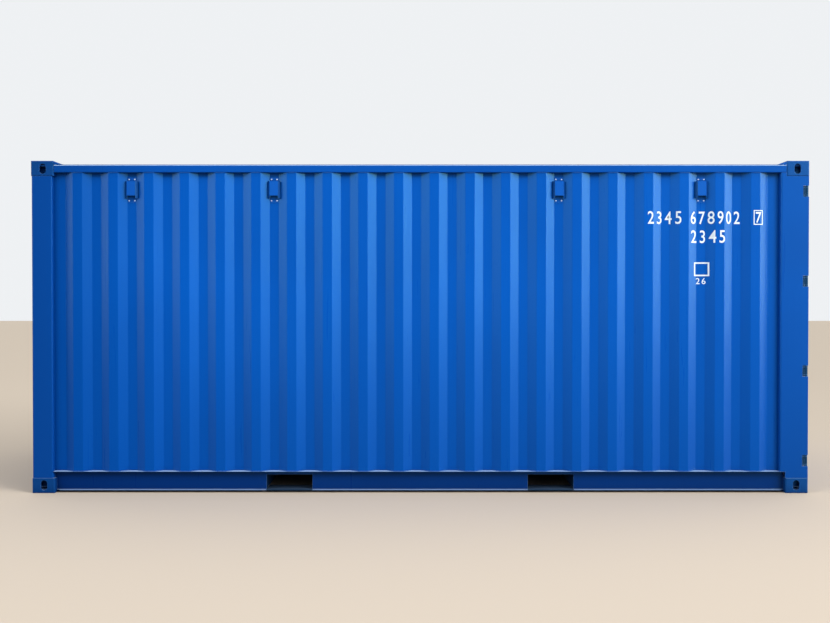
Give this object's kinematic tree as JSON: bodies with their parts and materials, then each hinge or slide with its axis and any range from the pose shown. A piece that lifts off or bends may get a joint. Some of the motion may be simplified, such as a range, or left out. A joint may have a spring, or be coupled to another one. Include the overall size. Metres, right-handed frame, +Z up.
{
  "type": "shipping container",
  "caption": "Twenty-foot steel cargo box with corner castings, corrugated walls, ribbed roof, fork pockets and hinged end doors with lock rods.",
  "frame": {"origin": "centre of the footprint at the level the castings stand on", "axes": "+X along the container towards the doors, +Y across to its right side, +Z up"},
  "size_m": [6.058, 2.438, 2.591],
  "materials": {
    "casting_paint": "semi-gloss",
    "frame_paint": "semi-gloss",
    "wall_paint": "semi-gloss",
    "roof_paint": "semi-gloss",
    "underframe_paint": "satin",
    "vent_paint": "semi-gloss",
    "fitting_paint": "semi-gloss",
    "door_paint": "semi-gloss",
    "zinc": "hot-dip zinc, satin",
    "gasket": "matt",
    "plywood": "sealed, satin"
  },
  "bodies": {
    "container": {"front_bottom_castings": "casting_paint", "front_top_castings": "casting_paint", "rear_bottom_castings": "casting_paint", "rear_top_castings": "casting_paint", "front_post_left": "frame_paint", "front_post_right": "frame_paint", "rear_post_left": "frame_paint", "rear_post_right": "frame_paint", "bottom_rail_left": "frame_paint", "bottom_rail_right": "frame_paint", "top_rail_left": "frame_paint", "top_rail_right": "frame_paint", "front_sill": "frame_paint", "front_header": "frame_paint", "door_sill": "frame_paint", "door_header": "frame_paint", "side_wall_left": "wall_paint", "side_wall_right": "wall_paint", "front_wall": "wall_paint", "roof": "roof_paint", "floor_boards": "plywood", "cross_members": "underframe_paint", "fork_pocket_plates": "underframe_paint", "vents_left": "vent_paint", "vents_right": "vent_paint", "lashing_rings_left": "frame_paint", "lashing_rings_right": "frame_paint", "sill_keepers": "fitting_paint", "header_keepers": "fitting_paint", "hinge_lugs_left": "fitting_paint", "hinge_lugs_right": "fitting_paint"},
    "door_left": {"door_frame_left": "door_paint", "door_panel_left": "door_paint", "door_gasket_left": "gasket", "hinge_blades_left": "fitting_paint", "lock_rods_left": "zinc", "lock_handles_left": "zinc", "rod_brackets_left": "zinc"},
    "door_right": {"door_frame_right": "door_paint", "door_panel_right": "door_paint", "door_gasket_right": "gasket", "hinge_blades_right": "fitting_paint", "lock_rods_right": "zinc", "lock_handles_right": "zinc", "rod_brackets_right": "zinc"}
  },
  "joints": [
    {"name": "door_left_swing", "type": "hinge", "parent": "container", "child": "door_left", "pos_m": [3.013, -1.203, 1.305], "axis": [0, 0, -1], "range_deg": [0, 264]},
    {"name": "door_right_swing", "type": "hinge", "parent": "container", "child": "door_right", "pos_m": [3.013, 1.203, 1.305], "axis": [0, 0, 1], "range_deg": [0, 264]}
  ]
}
